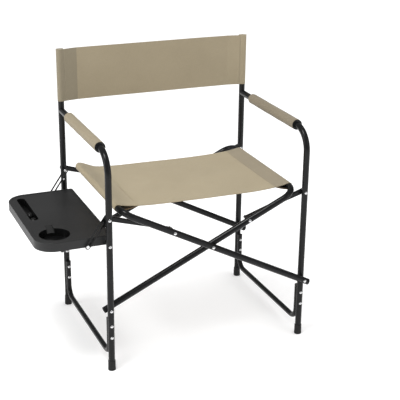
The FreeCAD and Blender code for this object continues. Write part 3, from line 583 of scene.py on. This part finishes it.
def make_seat():
    """Seat sling with a sleeve round each rail; each cloth is followed by its reverse."""
    rows = seat_rows()
    flat = [laid_flat(line) for line in rows]
    cloths = [BEIGE, REVERSE, SEAT_BAND_SHADE_CLOTH, REVERSE, SLEEVE_UNDER_SHADE_CLOTH, SLEEVE_UNDER_SHADE_CLOTH]
    piece = grid_piece("seat_sling", rows, flat, cloths, flip=True)
    # the band beside the right rail takes a darker cloth as painted shade
    repaint(piece, 2, lambda c: c.x > RIGHT_RAIL_X - RIGHT_SEAM)
    # the under layer inside the sleeves takes the dark brown cloth as painted shade
    repaint(piece, 4, is_underneath)
    share = []
    for line in rows:
        for p, last in zip(line, rows[-1]):
            edge = min(p.y - SEAT_FRONT, last.y - p.y)
            share.append(1.0 - eased((edge - SEAT_HEM) / HEM_FADE))
    hem_group(piece, share)
    thicken(piece, 2.0 * MM, -1.0, 1)
    return piece


def on_seat(x, y):
    """Place of a stitch on the seat, x inboard of the left rail."""
    return Vector((LEFT_RAIL_X + x, y, seat_top(x, y) + 0.12 * MM))


def seat_stitch_runs():
    """Runs of stitches on the seat: two along each seam and one along each hem."""
    above = Vector((0, 0, 1))
    runs = []
    for middle in (SEAT_SEAM, 2 * HALF_SEAT - RIGHT_SEAM):
        for inside in (middle - SEAM_HALF, middle + SEAM_HALF):
            line = [on_seat(inside, y) for y in steps(SEAT_FRONT + 2 * MM, SEAT_REAR - 2 * MM, 25)]
            runs.append((line, above))
    for y_at in (SEAT_FRONT + 9 * MM, SEAT_REAR - 9 * MM):
        line = [on_seat(x, y_at) for x in steps(6 * MM, 2 * HALF_SEAT - 6 * MM, 81)]
        runs.append((line, above))
    return runs


seat = make_seat()
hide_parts("seat_panel", "left_seat_sleeve", "right_seat_sleeve")
seat_thread = stitches("seat_stitching", seat_stitch_runs())
for piece in (seat, seat_thread):
    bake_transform(piece)


# ---- back sling ----
def back_front(x):
    """Y of the back's front face between the posts, at x."""
    side = min(x - LEFT_POST_X, RIGHT_POST_X - x)
    plane = POST_Y + 0.6 * MM
    if side >= BACK_SEAM:
        ease = eased((side - BACK_SEAM) / (90 * MM))
        return plane + 1.6 * MM * ease
    reach = max(0.0, (side - WRAP_START) / (BACK_SEAM - WRAP_START)) ** 0.62
    return (POST_Y - 10.3 * MM) * (1 - reach) + plane * reach


def back_top(x):
    """Height of the back's top edge at x, a little lower at the posts."""
    side = min(x - LEFT_POST_X, RIGHT_POST_X - x)
    return BACK_HIGH + BACK_OVER - 0.8 * MM * (1 - eased((side + 11 * MM) / (60 * MM)))


def back_rows(columns):
    """Rows of points from low to high for columns of (x, y)."""
    rows = []
    flat = []
    run = [0.0]
    for a, b in zip(columns, columns[1:]):
        run.append(run[-1] + math.hypot(b[0] - a[0], b[1] - a[1]))
    for t in steps(0.0, 1.0, 41):
        share = 0.5 - 0.5 * math.cos(math.pi * t)
        line = []
        for x, y in columns:
            low = BACK_LOW - BACK_UNDER
            high = back_top(x)
            z = low + (high - low) * share
            line.append(Vector((x, y, z)))
        rows.append(line)
        flat.append([(r, line[0].z) for r in run])
    return rows, flat


def back_hem(rows):
    """Share of hem for each point, full along the bottom and the top edge."""
    share = []
    for line in rows:
        for p in line:
            edge = min(p.z - BACK_LOW + BACK_UNDER, back_top(p.x) - p.z)
            share.append(1.0 - eased((edge - BACK_HEM) / HEM_FADE))
    return share


def back_rear(side):
    """Y of the rear layer of a back sleeve, this far inboard of the post's centre."""
    reach = (side - WRAP_START) / (BACK_SEAM - WRAP_START)
    return (POST_Y + 10.2 * MM) * (1 - reach) + (POST_Y + 3.0 * MM) * reach


def make_back_sleeve(name, post_x, sign):
    """Wraps a post: from the split in front, round the outside, to the split behind.

    The last rows close its top over the post.
    """
    columns = []
    for side in steps(BACK_SPLIT, 6.0 * MM, 5):
        x = post_x + sign * side
        columns.append((x, back_front(x)))
    for angle in steps(math.radians(-68), math.radians(-292), 27):
        x = post_x + sign * BACK_SLEEVE_R * math.cos(angle)
        columns.append((x, POST_Y + BACK_SLEEVE_R * math.sin(angle)))
    for side in steps(6.5 * MM, BACK_SPLIT, 4):
        columns.append((post_x + sign * side, back_rear(side)))
    if sign < 0:
        columns = columns[::-1]
    rows, flat = back_rows(columns)
    top_row = rows[-1]
    top_flat = flat[-1]
    for share in (0.35, 0.7, 0.97):
        rows.append([p.lerp(Vector((p.x, POST_Y - 3 * MM, p.z + 0.2 * MM)), share) for p in top_row])
        flat.append([(u, v + 10 * MM * share) for u, v in top_flat])
    # the left sleeve takes the darker painted-shade cloth; the right one takes the back cloth, itself
    # painted shade
    piece = grid_piece(name, rows, flat, [SHADE if sign > 0 else BACK_SHADED_CLOTH, REVERSE])
    hem_group(piece, back_hem(rows))
    thicken(piece, 1.6 * MM, -1.0, 1, even=False)
    return piece


def make_back_panel():
    """Back sling between the two sleeves, with painted shade on its left zone as a darker copy of the
    cloth.
    """
    across = steps(LEFT_POST_X + BACK_SPLIT, RIGHT_POST_X - BACK_SPLIT, 141)
    columns = [(x, back_front(x)) for x in across]
    rows, flat = back_rows(columns)
    for line in rows:
        for p in line:
            side = min(p.x - LEFT_POST_X, RIGHT_POST_X - p.x)
            loose = eased((side - BACK_SEAM) / (60 * MM))
            p.y += noise.noise(Vector((p.x * 8.0, 3.1, p.z * 10.0))) * 1.4 * MM * loose
            p.y += 0.5 * MM * dip(abs(side - BACK_SEAM))
    # the main back cloth is a darker copy of the seat cloth, as painted shade
    piece = grid_piece("back_sling", rows, flat, [BACK_SHADED_CLOTH, REVERSE, SHADE, REVERSE], flip=True)
    # the left zone of the sling takes the darker cloth as painted shade
    repaint(piece, 2, lambda c: c.x < LEFT_POST_X + BACK_SEAM)
    hem_group(piece, back_hem(rows))
    thicken(piece, 1.6 * MM, -1.0, 1)
    return piece


back = make_back_panel()
left_back = make_back_sleeve("back_sleeve_left", LEFT_POST_X, 1)
right_back = make_back_sleeve("back_sleeve_right", RIGHT_POST_X, -1)
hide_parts("back_panel")
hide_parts("left_back_sleeve")
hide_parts("right_back_sleeve")
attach(back, "left_side_frame")
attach(left_back, "left_side_frame")
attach(right_back, "right_side_frame")
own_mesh(back)


# ---- padded arms ----
def make_arm(name, box, turn, cloth):
    """Padded cover round an arm, gathered at its rear end; turn shifts its pleats and ripples."""
    centre = Vector(((box[0].x + box[1].x) / 2, 0, (box[0].z + box[1].z) / 2))
    arm_radius = (box[1].x - box[0].x) / 2 + 0.9 * MM
    unrolled = 14 * MM
    around = 64
    rows = []
    flat = []
    for t in steps(0.0, 1.0, 90):
        y = box[0].y + (box[1].y - box[0].y) * t
        back_in = (box[1].y - y) / (9 * MM)
        front_in = (y - box[0].y) / (4 * MM)
        close = math.sqrt(max(0.0, 1 - (1 - min(1.0, back_in)) ** 2))
        radius = 11.6 * MM + (arm_radius - 12.1 * MM) * close
        radius -= 0.8 * MM * (1 - eased(front_in))
        line = []
        places = []
        for k in range(around):
            angle = math.tau * k / around
            pleat = math.cos(angle * 11 + turn) * 0.6 * MM * math.exp(-max(0.0, back_in - 0.1) * 0.9)
            spot = Vector((math.cos(angle) * 1.4, math.sin(angle) * 1.4, y * 26 + turn))
            ripple = noise.noise(spot) * 0.45 * MM
            seam = -0.9 * MM * math.exp(-(((angle - math.radians(128)) / 0.07) ** 2))
            r = radius + pleat * (0.25 + 0.75 * close) + ripple + seam
            line.append(centre + Vector((r * math.cos(angle), y, r * math.sin(angle))))
            places.append((angle * unrolled, y))
        rows.append(line + [line[0].copy()])
        flat.append(places + [(math.tau * unrolled, y)])
    piece = grid_piece(name, rows, flat, [cloth, REVERSE])
    thicken(piece, 1.0 * MM, -1.0, 1)
    return piece


# each arm pad takes its darker painted-shade cloth
left_arm = make_arm("arm_pad_left", left_arm_box, 0.0, ARM_LEFT_SHADE_CLOTH)
right_arm = make_arm("arm_pad_right", right_arm_box, 1.7, ARM_RIGHT_SHADE_CLOTH)
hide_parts("left_arm_cover")
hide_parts("right_arm_cover")
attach(left_arm, "left_side_frame")
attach(right_arm, "right_side_frame")


# ---- carry strap under the seat ----
strap_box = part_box("carry_handle")


def make_strap():
    """Webbing handle: its ends lie under the seat, its middle hangs free and narrows."""
    low, high = strap_box
    width = high.x - low.x
    top = high.z - 1.2 * MM
    bow = low.z + 1.6 * MM
    rows = []
    flat = []
    for t in steps(0.0, 1.0, 73):
        y = low.y + 1 * MM + (high.y - low.y - 2 * MM) * t
        hang = eased((min(t, 1 - t) - 0.10) / 0.22)
        z = min(top, seat_top((low.x + high.x) / 2 - LEFT_RAIL_X, y) - 4.2 * MM)
        z += (bow - z) * hang
        pinch = 1.0 - 0.18 * hang
        line = []
        for s in steps(-0.5, 0.5, 9):
            curl = (1 - (2 * s) ** 2) * 1.2 * MM * hang
            line.append(Vector((low.x + width * (0.5 + s * pinch * 0.98), y, z - curl)))
        rows.append(line)
        flat.append([(y, s * width) for s in steps(-0.5, 0.5, 9)])
    piece = grid_piece("carry_strap", rows, flat, [WEBBING])
    thicken(piece, 1.8 * MM, 0.0)
    return piece


strap = make_strap()
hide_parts("carry_handle")
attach(strap, "right_rail")


# ---- floor and light ----
floor_mesh = bpy.data.meshes.new("floor")
floor_mesh.from_pydata([(-9, -9, 0), (9, -9, 0), (9, 9, 0), (-9, 9, 0)], [], [(0, 1, 2, 3)])
floor = add_object("floor", floor_mesh)
floor_shader = Shader("floor_pale")
floor_tone = floor_shader.noise(floor_shader.coords(), 2.0, 3.0)
floor_color = floor_shader.ramp(floor_tone, [(0.3, (0.90, 0.90, 0.90)), (0.7, (0.93, 0.93, 0.93))])
floor_shader.paint(Emission_Color=(1.0, 1.0, 1.0), Emission_Strength=0.15)
floor_mesh.materials.append(floor_shader.paint(Base_Color=floor_color, Roughness=0.9))

# the world lights the scene at full strength and shows weaker in reflections
world = bpy.data.worlds.new("studio")
bpy.context.scene.world = world
world.use_nodes = True
nodes = world.node_tree.nodes
soft = nodes["Background"]
soft.inputs["Color"].default_value = (1, 1, 1, 1)
soft.inputs["Strength"].default_value = 1.05
mirrored = nodes.new("ShaderNodeBackground")
mirrored.inputs["Color"].default_value = (1, 1, 1, 1)
mirrored.inputs["Strength"].default_value = 0.30
path = nodes.new("ShaderNodeLightPath")
choose = nodes.new("ShaderNodeMixShader")
world.node_tree.links.new(path.outputs["Is Glossy Ray"], choose.inputs[0])
world.node_tree.links.new(soft.outputs[0], choose.inputs[1])
world.node_tree.links.new(mirrored.outputs[0], choose.inputs[2])
world.node_tree.links.new(choose.outputs[0], nodes["World Output"].inputs["Surface"])


def area_light(name, place, aim, size, power):
    """Rectangular lamp at a place, turned to its aim."""
    light = bpy.data.lights.new(name, "AREA")
    light.shape = "RECTANGLE"
    light.size = size[0]
    light.size_y = size[1]
    light.energy = power
    made = add_object(name, light)
    made.location = place
    made.rotation_euler = (Vector(aim) - Vector(place)).to_track_quat("-Z", "Y").to_euler()


area_light("key", (-1.1, -0.6, 3.4), (0.05, 0.0, 0.3), (1.0, 1.0), 50)
area_light("side", (-3.2, 0.2, 1.4), (0.0, 0.0, 0.4), (0.9, 2.0), 26)
area_light("fill", (2.4, -3.2, 1.8), (0.0, 0.0, 0.5), (1.2, 2.2), 14)

# ---- camera, placed from a point at mid height of the chair ----
LENS = 93.827
AZIMUTH = math.radians(-23.022)
ELEVATION = math.radians(21.051)
ROLL = math.radians(0.745)
OFFSET = Vector((-0.05902, 0.005256, 3.2046))
PIVOT = Vector((MID_X, 0.0, 0.41067))
flat_way = Vector((math.sin(AZIMUTH), -math.cos(AZIMUTH), 0.0))
back_way = flat_way * math.cos(ELEVATION) + Vector((0.0, 0.0, math.sin(ELEVATION)))
level = (-back_way).cross(Vector((0, 0, 1))).normalized()
upward = level.cross(-back_way)
right_way = level * math.cos(ROLL) + upward * math.sin(ROLL)
up_way = upward * math.cos(ROLL) - level * math.sin(ROLL)
camera_data = bpy.data.cameras.new("camera")
camera_data.lens = LENS
camera_data.sensor_width = 36
camera_data.clip_end = 60
camera = add_object("camera", camera_data)
where = PIVOT - right_way * OFFSET.x - up_way * OFFSET.y + back_way * OFFSET.z
turn = Matrix((right_way, up_way, back_way)).transposed()
camera.matrix_world = Matrix.Translation(where) @ turn.to_4x4()
bpy.context.scene.camera = camera
bpy.context.scene.view_settings.view_transform = "Standard"
